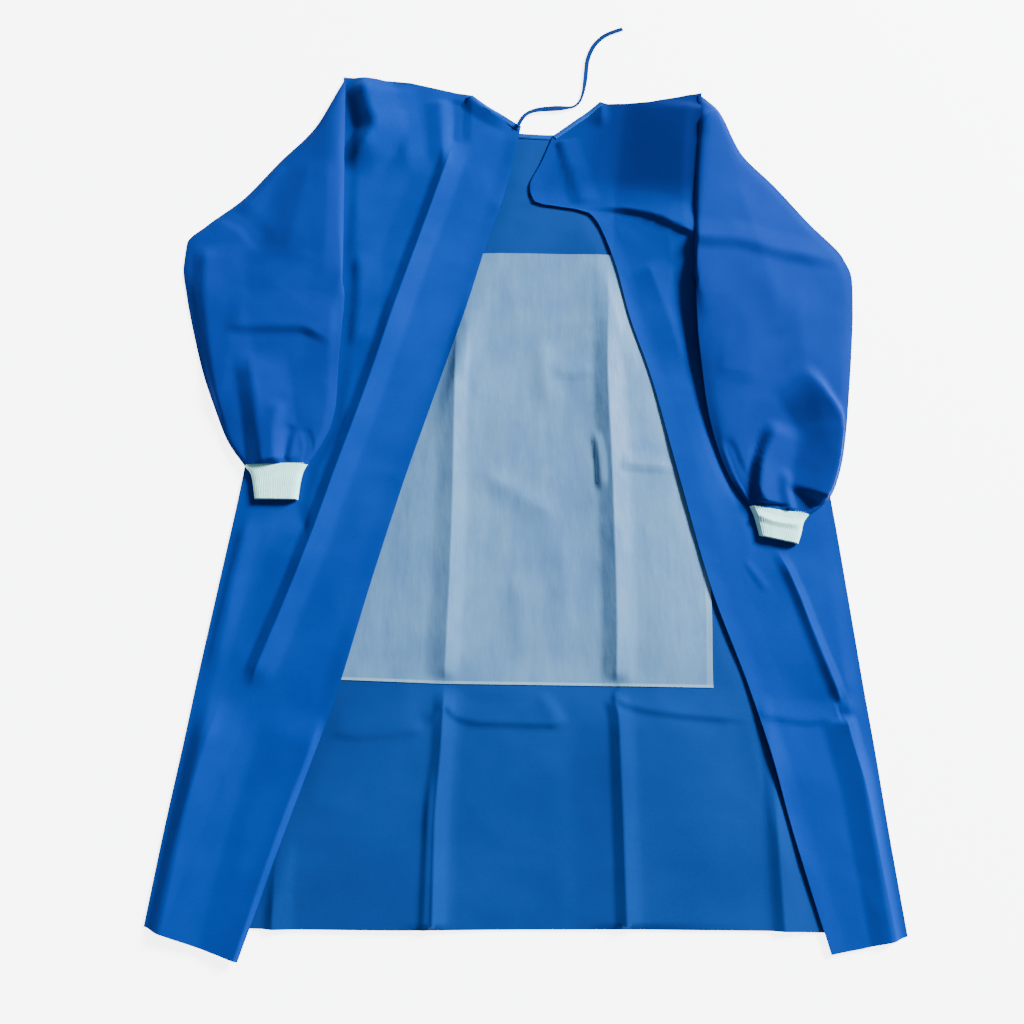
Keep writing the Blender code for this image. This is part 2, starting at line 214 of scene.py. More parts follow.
def ripple(x, y, size, seed):
    """Smooth uneven waves of about this size, from -1 to 1."""
    table = np.random.RandomState(seed).uniform(-1, 1, (64, 64))
    u, v = x / size + 1000.0, y / size + 1000.0
    i, j = np.floor(u).astype(int), np.floor(v).astype(int)
    a, b = ease(u - i), ease(v - j)
    low = table[i % 64, j % 64] * (1 - a) + table[(i + 1) % 64, j % 64] * a
    high = table[i % 64, (j + 1) % 64] * (1 - a) + table[(i + 1) % 64, (j + 1) % 64] * a
    return low * (1 - b) + high * b


def crumple(x, y, height, size, seed):
    """Faint angular handling marks, as stiff nonwoven takes them.

    Wide marks have most of the height. Marks about half as wide and specks break them up.
    """
    wander, wander_size = 22, size * 1.3
    wide_share, narrow_share, speck_share = 0.7, 0.2, 0.06
    u = x + wander * ripple(x, y, wander_size, seed + 7)
    v = y + wander * ripple(x, y, wander_size, seed + 8)
    rough = (1 - 2 * abs(ripple(u, v * 0.7, size, seed))) * wide_share
    rough += (1 - 2 * abs(ripple(u * 0.9, v, size * 0.45, seed + 1))) * narrow_share
    rough += ripple(x, y, size * 0.2, seed + 2) * speck_share
    return height * rough


def relief(x, y, creases, swells, marks):
    """Height of all that is pressed into a stretch of cloth, whose troughs end at 0."""
    z = cloth_loft + crumple(x, y, *marks)
    for row in creases:
        z = z + crease(x, y, *row)
    for row in swells:
        z = z + swell(x, y, *row)
    return np.maximum(z, 0)


class Socket:
    """An output of a shader node, so that shader maths reads as arithmetic."""

    def __init__(self, tree, link):
        self.tree, self.link = tree, link

    def node(self, kind, settings=(), inputs=(), output=0):
        made = self.tree.nodes.new(kind)
        for key, value in dict(settings).items():
            setattr(made, key, value)
        for key, value in dict(inputs).items():
            if isinstance(value, Socket):
                self.tree.links.new(value.link, made.inputs[key])
            else:
                made.inputs[key].default_value = value
        return Socket(self.tree, made.outputs[output])

    def maths(self, operation, *values):
        return self.node("ShaderNodeMath", {"operation": operation}, dict(enumerate(values)))

    def __add__(self, other):
        return self.maths("ADD", self, other)

    def __radd__(self, other):
        return self.maths("ADD", other, self)

    def __sub__(self, other):
        return self.maths("SUBTRACT", self, other)

    def __rsub__(self, other):
        return self.maths("SUBTRACT", other, self)

    def __mul__(self, other):
        return self.maths("MULTIPLY", self, other)

    def __rmul__(self, other):
        return self.maths("MULTIPLY", other, self)

    def step(self, low, high):
        """0 below the first value, 1 above the second and smooth between them."""
        return self.node("ShaderNodeMapRange", {"interpolation_type": "SMOOTHSTEP"},
                         {"Value": self, "From Min": low, "From Max": high})

    def feed(self, shader_input):
        self.tree.links.new(self.link, shader_input)


def blend(mask, first, second):
    """Colour that goes from the first to the second with the mask."""
    return mask.node("ShaderNodeMix", {"data_type": "RGBA"}, {0: mask, 6: first, 7: second}, 2)


def noise(flat, scale, detail, rough=0.5, twist=0.0):
    """Uneven clouds over the cloth, finer as the scale grows."""
    inputs = {"Vector": flat, "Scale": scale, "Detail": detail, "Roughness": rough, "Distortion": twist}
    return flat.node("ShaderNodeTexNoise", {}, inputs)


def new_finish(name, roughness, gloss, sheen=0.0):
    """A material, its shader, and its cloth's own flat coordinates in millimetres."""
    material = bpy.data.materials.new(name)
    material.use_nodes = True
    tree = material.node_tree
    shader = tree.nodes["Principled BSDF"]
    shader.inputs["Roughness"].default_value = roughness
    shader.inputs["Specular IOR Level"].default_value = gloss
    shader.inputs["Sheen Weight"].default_value = sheen
    flat = Socket(tree, None).node("ShaderNodeUVMap", {"uv_map": "cloth"})
    return material, shader, flat


def nonwoven_finish(name, dark, light, seed=0.0, painted_shade=None):
    """Spunbond: drifts of fibre under a fine emboss of bonded points.

    Where it is given a painted shade, one corner is coloured deeper, standing in for shade that falls
    there: the range across, the range down, colour.
    """
    material, shader, flat = new_finish(name, roughness=0.8, gloss=0.015)
    shifted = flat.node("ShaderNodeMapping", {}, {"Vector": flat, "Location": (seed, seed * 0.7, 0)})
    clouds = noise(shifted, 0.008, 3.0)
    fibres = noise(shifted, 0.4, 3.0, 0.7, 1.5)
    bonds = flat.node("ShaderNodeTexVoronoi", {}, {"Vector": flat, "Scale": 0.55, "Randomness": 0.12})
    dots = 1 - bonds.step(0.12, 0.34)
    tone = clouds * 0.6 + fibres * 0.4 - dots * 0.1
    colour = blend(tone.step(0.26, 0.68), dark, light)
    # Painted shade: a deeper blue over one corner of the cloth, in place of shade.
    if painted_shade:
        across, down = (flat.node("ShaderNodeSeparateXYZ", {}, {0: flat}, k) for k in (0, 1))
        mask = across.step(*painted_shade[0]) * (1 - down.step(*painted_shade[1]))
        colour = blend(mask, colour, painted_shade[2])
    colour.feed(shader.inputs["Base Color"])
    height = fibres * 0.35 - dots * 0.6
    bump = flat.node("ShaderNodeBump", {}, {"Height": height, "Strength": 0.2, "Distance": 0.0003})
    bump.feed(shader.inputs["Normal"])
    return material


def cloth(name, x, y, z, material, thick=cloth_thick, closed=False):
    """Closed shell about a grid of points, whose UV map holds its flat sizes in millimetres."""
    places = np.stack([x - layout_middle[0], y - layout_middle[1], z], axis=-1) * MM
    down = np.gradient(places, axis=0)
    across = np.gradient(places, axis=1)
    if closed:
        across = np.roll(places, -1, axis=1) - np.roll(places, 1, axis=1)
    normal = np.cross(down, across)
    normal *= thick * MM / 2 / np.maximum(np.linalg.norm(normal, axis=-1, keepdims=True), 1e-12)
    count = x.size
    index = np.arange(count).reshape(x.shape)
    if closed:
        index = np.concatenate([index, index[:, :1]], axis=1)
        places_round = np.concatenate([places, places[:, :1]], axis=1)
    else:
        places_round = places
    widths = np.linalg.norm(np.diff(places_round, axis=1), axis=-1).mean(axis=0) / MM
    heights = np.linalg.norm(np.diff(places, axis=0), axis=-1).mean(axis=1) / MM
    runs = [np.concatenate([[0], np.cumsum(run)]) for run in (widths, heights)]
    flat = np.stack(np.meshgrid(*runs), axis=-1)

    upper, upper_flat = (
        np.stack([g[:-1, :-1], g[1:, :-1], g[1:, 1:], g[:-1, 1:]], axis=2) for g in (index, flat)
    )
    faces = [upper.reshape(-1, 4), upper.reshape(-1, 4)[:, ::-1] + count]
    corners = [upper_flat.reshape(-1, 4, 2), upper_flat.reshape(-1, 4, 2)[:, ::-1]]
    rims = [(index[-1], flat[-1]), (index[0, ::-1], flat[0, ::-1])]
    if not closed:
        rims += [(index[:, 0], flat[:, 0]), (index[::-1, -1], flat[::-1, -1])]
    for line, line_flat in rims:
        a, b = line[:-1], line[1:]
        faces.append(np.stack([b, a, a + count, b + count], axis=1))
        corners.append(np.stack([line_flat[1:], line_flat[:-1], line_flat[:-1], line_flat[1:]], axis=1))

    mesh = bpy.data.meshes.new(name)
    shell = np.concatenate([(places + normal).reshape(-1, 3), (places - normal).reshape(-1, 3)])
    mesh.from_pydata(shell.tolist(), [], np.concatenate(faces).tolist())
    layer = mesh.uv_layers.new(name="cloth")
    layer.data.foreach_set("uv", np.concatenate(corners).reshape(-1).astype(np.float32))
    mesh.shade_smooth()
    mesh.set_sharp_from_angle(angle=SHARP_FOLD)
    mesh.materials.append(material)
    piece = bpy.data.objects.new(name, mesh)
    bpy.context.scene.collection.objects.link(piece)
    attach(piece, "root")
    return piece


# Creases of the front and its patch: height, left and right reach, sharpness, shares of
# the length that fade in and out, points. Then swells: place, reach, height, turn.
SECOND_CREASE = tuple(row[1] for row in FRONT_LINES[3:9])
SECOND_CREASE_LOW = tuple(row[1] for row in FRONT_LINES[8:])
THIRD_CREASE = tuple(row[2] for row in FRONT_LINES[3:9])
THIRD_CREASE_LOW = tuple(row[2] for row in FRONT_LINES[8:])
FRONT_CREASES = (
    (4, 12, 24, 1.05, (0.3, 0), ((-277, -385), (-280, -400), (-286, -425), (-282, -530))),
    (5, 24, 20, 1.1, (0.2, 0.03), SECOND_CREASE),
    (3, 90, 50, 1.2, (0.1, 0.1), SECOND_CREASE),
    (4.5, 14, 17, 1.05, (0.1, 0), SECOND_CREASE_LOW),
    (4, 170, 26, 1.2, (0.2, 0), SECOND_CREASE_LOW),
    (2, 7, 7, 1.1, (0.3, 0), ((-99, -320), (-103, -400), (-105, -520))),
    (6, 20, 26, 1.05, (0.35, 0.03), THIRD_CREASE),
    (4, 60, 110, 1.2, (0.1, 0.1), THIRD_CREASE),
    (4.5, 14, 19, 1.05, (0.05, 0), ((127, -240), (134, -272)) + THIRD_CREASE_LOW[2:]),
    (4, 60, 150, 1.2, (0.2, 0), THIRD_CREASE_LOW),
    (5, 14, 34, 1.05, (0.25, 0), ((316, -285), (325, -331), (322, -404), (321, -530))),
    (2.5, 6, 40, 1.05, (0.02, 0.3), (
        (126, -240), (142, -251), (161, -257), (190, -262), (236, -267), (305, -272),
    )),
    (2.5, 6, 26, 1.05, (0.1, 0.02), ((-109, -280), (-84, -256), (-70, -267), (-40, -274), (62, -277))),
    (1.5, 8, 34, 1.1, (0.2, 0.1), ((-236, -286), (-180, -290), (-109, -282))),
    (2, 20, 6, 1.0, (0.1, 0.1), ((38, -240), (50, -256), (64, -276))),
)
PATCH_CREASES = (
    (3.5, 4, 11, 1.0, (0.15, 0.2), ((113, 114), (118, 72), (119, 26))),
    (3, 7, 20, 1.1, (0.02, 0.4), ((150, 67), (188, 62), (228, 61))),
    (3, 22, 26, 1.3, (0.3, 0.3), ((42, 262), (46, 198), (54, 140))),
    (2.5, 10, 26, 1.2, (0.2, 0.3), ((56, 201), (89, 201), (126, 206))),
    (2.5, 18, 44, 1.3, (0.3, 0.3), ((2, -80), (8, -130), (6, -200))),
    (2.5, 30, 24, 1.4, (0.3, 0.3), ((-60, 66), (-9, 36), (66, -14))),
    (3, 34, 24, 1.3, (0.3, 0.3), ((-62, 320), (-64, 245), (-70, 180))),
    (2.5, 30, 30, 1.4, (0.3, 0.3), ((60, -10), (68, -110), (62, -200))),
)
FRONT_SWELLS = (
    ((10, -246), (60, 30), 2.5, 0), ((-190, -380), (70, 90), 2, 0), ((230, -380), (60, 90), 3, 0),
    ((-20, 130), (60, 90), 2, 20), ((200, -150), (40, 90), 3, 0),
)
# Free edges of the back panels over the front, with the height that each edge lifts.
LEFT_FREE_EDGE = (
    ((14, 614), 1), ((3, 560), 2), ((-12, 492), 2), ((-38, 408), 1), ((-68, 298), 1),
    ((-99, 198), 1), ((-146, 45), 1), ((-184, -92), 1), ((-219, -228), 2), ((-242, -302), 1),
    ((-274, -398), 1), ((-320, -545), 1),
)
RIGHT_FREE_EDGE = (
    ((114, 462), 0.5), ((148, 388), 1), ((169, 290), 1), ((196, 195), 1), ((229, 40), 1),
    ((262, -108), 1), ((300, -228), 1), ((320, -305), 3), ((341, -404), 1), ((374, -538), 1),
)
# Handling marks: height, size, seed of the draw.
FRONT_MARKS = (1.0, 85, 3)
open_margin, open_fade = 12, 36


def line_x(y, line):
    """Where a line that runs down the layout crosses these heights."""
    return np.interp(-y, [-p[1] for p in line], [p[0] for p in line])


def front_relief(x, y):
    """The front lies flat under the back panels, and shows its creases between them."""
    left = line_x(y, [p for p, _ in LEFT_FREE_EDGE])
    right = line_x(y, [p for p, _ in RIGHT_FREE_EDGE])
    open_area = ease((x - left + open_margin) / open_fade) * ease((right + open_margin - x) / open_fade)
    return relief(x, y, FRONT_CREASES + PATCH_CREASES, FRONT_SWELLS, FRONT_MARKS) * open_area


front_lines = [LEFT_SIDE] + list(zip(*FRONT_LINES)) + [RIGHT_SIDE]
front_x, front_y = panel_points(front_lines, FRONT_ACROSS, FRONT_DOWN)
neck_first = sum(FRONT_ACROSS[:2])
neck_last = neck_first + FRONT_ACROSS[2]
neck_across = front_x[0, neck_first:neck_last + 1]
neck_share = (neck_across - neck_across[0]) / (neck_across[-1] - neck_across[0])
neck_curve = NECK_DROP * (1 - abs(2 * neck_share - 1) ** NECK_ROUNDNESS)
for r in range(FRONT_DOWN[0]):
    front_y[r, neck_first:neck_last + 1] -= neck_curve * (1 - r / FRONT_DOWN[0])
front_z = front_level + front_relief(front_x, front_y)

blue_dark, blue_light = (0.0020, 0.025, 0.18, 1), (0.0030, 0.035, 0.23, 1)
cloth_blue = nonwoven_finish("nonwoven_blue", blue_dark, blue_light)
inner_blue = nonwoven_finish(
    "nonwoven_blue_inside", (0.0030, 0.027, 0.142, 1), (0.0042, 0.037, 0.182, 1), seed=40.0,
)
front = cloth("gown_front", front_x, front_y, front_z, inner_blue)
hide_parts("front_panel")

# Reinforcement patch. A rectangle of film-coated nonwoven is bonded to the inside of the front over chest
# and belly. It is paler, and its pressed border along the lower and right edges is painted paler still:
# partly the sealed film's own colour, partly a painted highlight.
patch_rows = slice(sum(FRONT_DOWN[:3]), sum(FRONT_DOWN[:8]) + 1)
patch_columns = slice(FRONT_ACROSS[0], sum(FRONT_ACROSS[:4]) + 1)
patch_lift = 0.9
patch_thick = 0.3
border_width, border_edge = 3.5, 1
patch_film, film_shader, film_flat = new_finish("patch_film", roughness=0.45, gloss=0.12)
film_streaks = film_flat.node("ShaderNodeMapping", {}, {"Vector": film_flat, "Scale": (1, 0.3, 1)})
film_drift = noise(film_streaks, 0.05, 5.0)
film_tone = noise(film_flat, 0.008, 5.0, 0.6) * 0.65 + film_drift * 0.35
film_colour = blend(film_tone.step(0.36, 0.64), (0.066, 0.155, 0.30, 1), (0.092, 0.20, 0.335, 1))
film_across = film_flat.node("ShaderNodeSeparateXYZ", {}, {0: film_flat}, 0)
film_down = film_flat.node("ShaderNodeSeparateXYZ", {}, {0: film_flat}, 1)
patch_x, patch_y = (grid[patch_rows, patch_columns] for grid in (front_x, front_y))
patch_width = np.hypot(np.diff(patch_x), np.diff(patch_y)).sum(axis=1).mean()
patch_length = np.hypot(np.diff(patch_x, axis=0), np.diff(patch_y, axis=0)).sum(axis=0).mean()
side_border, end_border = patch_width - border_width, patch_length - border_width
# Painted highlight on top of the pressed seal's own colour: the lower border at full strength, the right
# one at half.
pressed = film_across.step(side_border - border_edge, side_border)
pressed = pressed * 0.5 + film_down.step(end_border, end_border + border_edge)
blend(pressed, film_colour, (0.17, 0.30, 0.42, 1)).feed(film_shader.inputs["Base Color"])
film_bump = film_flat.node("ShaderNodeBump", {}, {"Height": film_drift, "Strength": 0.5, "Distance": 0.002})
film_bump.feed(film_shader.inputs["Normal"])
patch = cloth(
    "inner_patch", patch_x, patch_y, front_z[patch_rows, patch_columns] + patch_lift,
    patch_film, patch_thick,
)
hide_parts("reinforcement_patch")

# Back panels. Two panels of the same cloth, sewn to the front at side and shoulder, lie over
# it with their free edges apart. Each keeps a long package crease, and the right one a tuck.
LEFT_CREASE = (
    (-66, 674), (-86, 592), (-115, 488), (-142, 396), (-169, 302), (-197, 200),
    (-240, 55), (-278, -72), (-335, -235), (-350, -305), (-370, -408), (-402, -519),
)
RIGHT_MIDDLE = (
    (137, 657), (128, 580), (140, 515), (150, 470), (152, 459), (182, 380), (206, 285),
    (232, 192), (268, 38), (308, -108), (345, -232), (366, -305), (384, -405), (410, -532),
)
RIGHT_CREASE = (
    (215, 659), (208, 592), (207, 510), (212, 450), (213, 436), (232, 360), (262, 280),
    (292, 188), (324, 34), (372, -107), (412, -234), (424, -305), (434, -405), (446, -524),
)
RIGHT_FREE = ((63, 597), (46, 553), (27, 508), (34, 481)) + tuple(p for p, _ in RIGHT_FREE_EDGE)
RIGHT_LIFT = (0.2, 0.3, 0.3, 0.4) + tuple(h for _, h in RIGHT_FREE_EDGE)
RIGHT_BACK_SIDE = RIGHT_SIDE[:3] + ((276, 440), (278, 420), (290, 378)) + RIGHT_SIDE[4:]
LEFT_BACK_ACROSS = (40, 34)
RIGHT_BACK_ACROSS = (22, 22, 32)
LEFT_BACK_DOWN = (18, 22, 20, 20, 20, 28, 24, 26, 16, 20, 22)
RIGHT_BACK_DOWN = (18, 17, 10, 4, 18, 20, 20, 28, 27, 24, 16, 20, 22)
LEFT_BACK_MARKS = (1.2, 95, 11)
RIGHT_BACK_MARKS = (1.2, 95, 23)
back_level = 1.9
seam_reach, seam_gap = 26.0, 0.1
free_reach = 24
cover_fade, cover_start = 22, 0.1
cuff_margin, cuff_fade = 12, 40
LEFT_LONG_CREASE = LEFT_CREASE[1:9]
LEFT_BACK_CREASES = (
    (6, 16, 26, 1.05, (0.06, 0.04), LEFT_LONG_CREASE),
    (5, 50, 110, 1.1, (0.1, 0.15), LEFT_LONG_CREASE),
    (-4, 14, 24, 1.1, (0.02, 0.25), ((-87, 662), (-86, 617), (-86, 576))),
    (4, 26, 14, 1.1, (0.1, 0.3), ((-112, 668), (-107, 606), (-104, 530))),
    (5, 44, 32, 1.1, (0.1, 0.3), ((-184, 692), (-173, 641), (-164, 586), (-150, 515))),
    (6, 20, 8, 1.0, (0, 0.5), ((-66, 668), (-40, 645), (-15, 630), (12, 617))),
    (4, 10, 34, 1.1, (0.2, 0.2), ((-226, 400), (-222, 320), (-228, 236))),
    (6, 90, 8, 1.05, (0.15, 0), ((-240, -262), (-250, -305), (-282, -400), (-326, -550))),
    (9, 44, 60, 1.2, (0.2, 0), ((-366, -240), (-388, -330), (-410, -430), (-426, -530))),
    (4, 30, 26, 1.3, (0.2, 0.2), ((-352, 10), (-372, -100), (-392, -220))),
)
LEFT_BACK_SWELLS = (((-130, 620), (40, 60), 3, 0), ((-200, 350), (30, 120), 2, 20))
RIGHT_BACK_CREASES = (
    (4, 7, 30, 1.0, (0.02, 0.1), ((73, 588), (85, 541), (95, 506), (103, 474))),
    (5, 26, 12, 1.0, (0, 0.4), ((136, 664), (139, 640), (137, 612))),
    (4, 10, 12, 1.05, (0.1, 0.02), ((346, -34), (354, -58), (375, -117), (391, -172), (415, -248))),
    (3, 60, 50, 1.2, (0.2, 0.1), ((346, -34), (375, -117), (391, -172), (415, -248))),
    (7, 30, 16, 1.05, (0.02, 0), ((418, -268), (425, -308), (434, -350), (442, -430), (452, -530))),
    (2, 6, 24, 1.05, (0.1, 0.02), ((308, -264), (373, -273), (413, -267))),
    (1.5, 6, 9, 1.1, (0.3, 0.3), ((307, -66), (322, -90), (336, -112))),
    (3, 40, 30, 1.3, (0.1, 0.3), ((196, 380), (222, 300), (246, 200))),
)
RIGHT_BACK_SWELLS = (((421, -254), (12, 8), 2, 0), ((250, 60), (24, 90), 3, 12))
# Folds that lift the whole panel, also where a sleeve lies on it.
LEFT_BACK_RISES = (
    (17, 32, 46, 1.0, (0.24, 0.3), (
        (-242, 718), (-234, 700), (-227, 672), (-218, 639),
        (-210, 613), (-220, 586), (-234, 564), (-250, 535),
    )),
)
RIGHT_BACK_RISES = (
    (18, 116, 20, 1.0, (0.1, 0.4), (
        (296, 668), (286, 600), (277, 540), (270, 470), (265, 380), (264, 300),
    )),
    (5, 40, 6, 1.1, (0, 0.4), ((268, 416), (243, 430), (219, 446), (191, 459), (150, 469), (112, 470))),
)
# Inner edges of the sleeves that lie on the panels.
LEFT_COVER = (
    (-252, 706), (-247, 345), (-243, 284), (-245, 195), (-250, 125), (-262, 95), (-279, 66),
    (-289, 16),
)
RIGHT_COVER = (
    (293, 676), (280, 600), (271, 486), (265, 366), (263, 265), (268, 182), (277, 112), (289, 66),
    (304, 30), (321, 6), (330, -34),
)


def back_panel(lines, across, down, lift, creases, swells, rises, marks, edge_column, cover, side):
    """Points of a back panel, lifted a little at its free edge.

    Only its rises go on under the sleeve, where the rest of it lies flat.
    """
    x, y = panel_points(lines, across, down)
    z = relief(x, y, creases, swells, marks)
    clear = np.maximum(
        ease((x - line_x(y, cover)) * side / cover_fade + cover_start),
        ease((cover[-1][1] - cuff_margin - y) / cuff_fade),
    )
    free = smooth_line(lift, down)[:, None]
    distance = np.hypot(x - x[:, edge_column][:, None], y - y[:, edge_column][:, None])
    seam = 0 if side > 0 else -1
    sewn = ease(np.hypot(x - x[:, seam][:, None], y - y[:, seam][:, None]) / seam_reach)
    z = z * clear * sewn + free * ease(1 - distance / free_reach) + back_level + front_relief(x, y)
    z = z - (1 - sewn) * (back_level - front_level - cloth_thick - seam_gap)
    for row in rises:
        z = z + crease(x, y, *row)
    return x, y, z


left_x, left_y, left_z = back_panel(
    [LEFT_SIDE, LEFT_CREASE, [p for p, _ in LEFT_FREE_EDGE]], LEFT_BACK_ACROSS, LEFT_BACK_DOWN,
    [h for _, h in LEFT_FREE_EDGE], LEFT_BACK_CREASES, LEFT_BACK_SWELLS, LEFT_BACK_RISES,
    LEFT_BACK_MARKS, edge_column=-1, cover=LEFT_COVER, side=1,
)
back_left = cloth("gown_back_left", left_x, left_y, left_z, cloth_blue)
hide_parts("back_left")

right_x, right_y, right_z = back_panel(
    [RIGHT_FREE, RIGHT_MIDDLE, RIGHT_CREASE, RIGHT_BACK_SIDE], RIGHT_BACK_ACROSS, RIGHT_BACK_DOWN,
    RIGHT_LIFT, RIGHT_BACK_CREASES, RIGHT_BACK_SWELLS, RIGHT_BACK_RISES,
    RIGHT_BACK_MARKS, edge_column=0, cover=RIGHT_COVER, side=-1,
)
# Painted shade: the right back panel's upper corner toward the shoulder is coloured a deeper blue, for the
# shade that lies over it there.
shade_across, shade_down, shoulder_shade_colour = (-50, 105), (135, 205), (0.001, 0.0105, 0.088, 1)
shade_painted_blue = nonwoven_finish(
    "nonwoven_blue_shoulder_shade", blue_dark, blue_light, seed=55.0, painted_shade=(shade_across, shade_down, shoulder_shade_colour),
)
back_right = cloth("gown_back_right", right_x, right_y, right_z, shade_painted_blue)
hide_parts("back_right")

# Sleeves. Each is one piece of the cloth, closed to a tube under the arm and sewn into the armhole. It is
# laid down along the body and gathered into its cuff. Its blue is painted shade: a darker copy of the
# cloth's, which tones down the light on the sleeves.
# Stations from the head to the cuff: inner edge, outer edge, sideways bow between them.
LEFT_SLEEVE = (
    ((-247, 345), (-262, 706), 0), ((-245, 338), (-302, 615), 0), ((-243, 329), (-355, 553), 0),
    ((-242, 317), (-407, 486), 0), ((-242, 302), (-454, 444), 0), ((-243, 284), (-482, 412), 0),
    ((-244, 260), (-483, 374), 0), ((-245, 230), (-473, 324), 0), ((-245, 195), (-456, 262), 0),
    ((-245, 160), (-437, 203), 0), ((-250, 125), (-415, 150), 0), ((-262, 95), (-391, 99), 0),
    ((-279, 66), (-365, 64), 0),
)
RIGHT_SLEEVE = (
    ((264, 345), (293, 676), -7), ((264, 338), (316, 643), -5), ((264, 330), (328, 605), -3),
    ((263, 320), (346, 560), -1), ((263, 305), (394, 506), 0), ((263, 287), (441, 444), 0),
    ((263, 265), (487, 387), 0), ((264, 240), (497, 352), 0), ((266, 212), (493, 303), 0),
    ((268, 182), (484, 240), 0), ((271, 150), (473, 175), 0), ((277, 112), (462, 115), 0),
    ((289, 66), (448, 60), 0), ((304, 30), (427, 16), 0), ((321, 6), (398, -5), 0),
)
sleeve_level, layer_gap = 5.4, 0.5
sleeve_room, fullness = 3.0, 9
edge_flatness, hang_rate = 14, 5
body_margin, body_fall = 6, 110
seam_flatness, seam_rows, seam_share = 0.85, 2.5, 0.4
sleeve_half, station_rows = 56, 12
# Painted shade: a darker copy of the cloth's blue for both sleeves.
sleeve_shaded_blue = nonwoven_finish(
    "nonwoven_blue_sleeve_shade", (0.0034, 0.021, 0.155, 1), (0.0046, 0.029, 0.20, 1), seed=25.0,
)
LEFT_SLEEVE_CREASES = (
    (6, 20, 60, 1.1, (0.1, 0.2), ((-452, 410), (-446, 340), (-430, 250), (-408, 160), (-394, 110))),
    (4.5, 11, 60, 1.05, (0.15, 0.3), ((-412, 271), (-359, 271), (-302, 270), (-275, 259), (-246, 240))),
    (9, 24, 50, 1.05, (0.25, 0.05), ((-372, 236), (-362, 190), (-352, 143), (-341, 84), (-336, 60))),
    (-4, 8, 9, 1.0, (0.2, 0.02), ((-305, 124), (-309, 95), (-311, 66))),
    (-3, 7, 8, 1.0, (0.2, 0.02), ((-287, 118), (-278, 92), (-280, 66))),
    (4, 20, 12, 1.1, (0.2, 0.05), ((-322, 160), (-326, 110), (-322, 66))),
    (-3, 16, 30, 1.2, (0.02, 0.4), ((-440, 468), (-402, 444), (-360, 392))),
    (3, 50, 60, 1.4, (0.2, 0.2), ((-300, 560), (-320, 470), (-330, 380))),
    (3, 30, 26, 1.4, (0.1, 0.3), ((-356, 548), (-380, 500), (-420, 460))),
)
RIGHT_SLEEVE_CREASES = (
    (4, 14, 30, 1.05, (0, 0.3), ((292, 690), (300, 662), (322, 636), (330, 610))),
    (3, 30, 5, 1.05, (0.02, 0.05), ((279, 604), (298, 621), (322, 634))),
    (5, 15, 34, 1.1, (0.02, 0.3), ((264, 405), (324, 404), (382, 391), (445, 382), (492, 374))),
    (17, 58, 16, 1.05, (0.25, 0.05), ((404, 214), (430, 168), (450, 122), (438, 56), (414, 6))),
    (9, 15, 44, 1.05, (0.2, 0.02), ((366, 130), (352, 96), (338, 66), (330, 10))),
    (-6, 8, 9, 1.0, (0.25, 0.02), ((293, 106), (303, 70), (315, 38), (334, 4))),
    (-4, 9, 8, 1.0, (0.3, 0.02), ((346, 112), (330, 72), (322, 30), (326, 4))),
    (1.5, 20, 50, 1.3, (0.2, 0.4), ((282, 206), (319, 200), (356, 190))),
    (3, 60, 70, 1.5, (0.2, 0.2), ((330, 520), (350, 440), (372, 330), (376, 250))),
    (4, 12, 10, 1.1, (0.3, 0.02), ((372, 60), (368, 34), (372, 0))),
)
LEFT_SLEEVE_EDGE = (
    (3, 50, 60, 1.2, (0.1, 0.2), ((-258, 690), (-250, 500), (-245, 320), (-246, 180), (-262, 95))),
    (-5, 30, 60, 1.2, (0.2, 0.2), ((-252, 570), (-247, 480), (-245, 400), (-245, 350))),
)
RIGHT_SLEEVE_FOLD = (
    (290, 672), (276, 560), (268, 440), (262, 330), (264, 230), (272, 130), (290, 60),
)
RIGHT_SLEEVE_EDGE = (
    (13, 40, 260, 1.0, (0.1, 0.5), RIGHT_SLEEVE_FOLD),
    (3, 40, 130, 1.0, (0.1, 0.5), RIGHT_SLEEVE_FOLD),
)


def sleeve_tube(sections, counts, half, side_line, side, creases, carried, marks, room, sewn):
    """Rows of a flattened tube: its lower layer, then its upper layer back again.

    The carried folds lift the edges and the upper layer, and the lower one hangs down
    between them. A sewn end is drawn down to the armhole seam.
    """
    near = smooth_line([row[0] for row in sections], counts)
    far = smooth_line([row[1] for row in sections], counts)
    bows = smooth_line([row[2] for row in sections], counts)
    s = 0.5 - 0.5 * np.cos(np.linspace(0, np.pi, half))
    x = near[:, :1] + (far - near)[:, :1] * s + bows[:, None] * 4 * s * (1 - s)
    y = near[:, 1:] + (far - near)[:, 1:] * s
    outside = (line_x(y, side_line) - x) * side - body_margin
    low = sleeve_level * (1 - ease(outside / body_fall))
    fold = sum(crease(x, y, *row) for row in carried)
    z = relief(x, y, creases, (), marks) * ease(s * edge_flatness) * ease((1 - s) * edge_flatness)
    z = z + room * (1 - abs(2 * s - 1) ** fullness)
    if sewn:
        rise = 1 - seam_flatness * np.exp(-np.arange(len(x)) / seam_rows)[:, None]
        drawn = seam_share + (1 - seam_share) * rise
        z, low, fold = z * rise, low * drawn, fold * drawn
    hang = 1 - ease(s * hang_rate) * ease((1 - s) * hang_rate)
    layers = ((x, x), (y, y), (low + fold * hang, low + fold + z + layer_gap))
    return [np.concatenate([a, b[:, -2:0:-1]], axis=1) for a, b in layers]


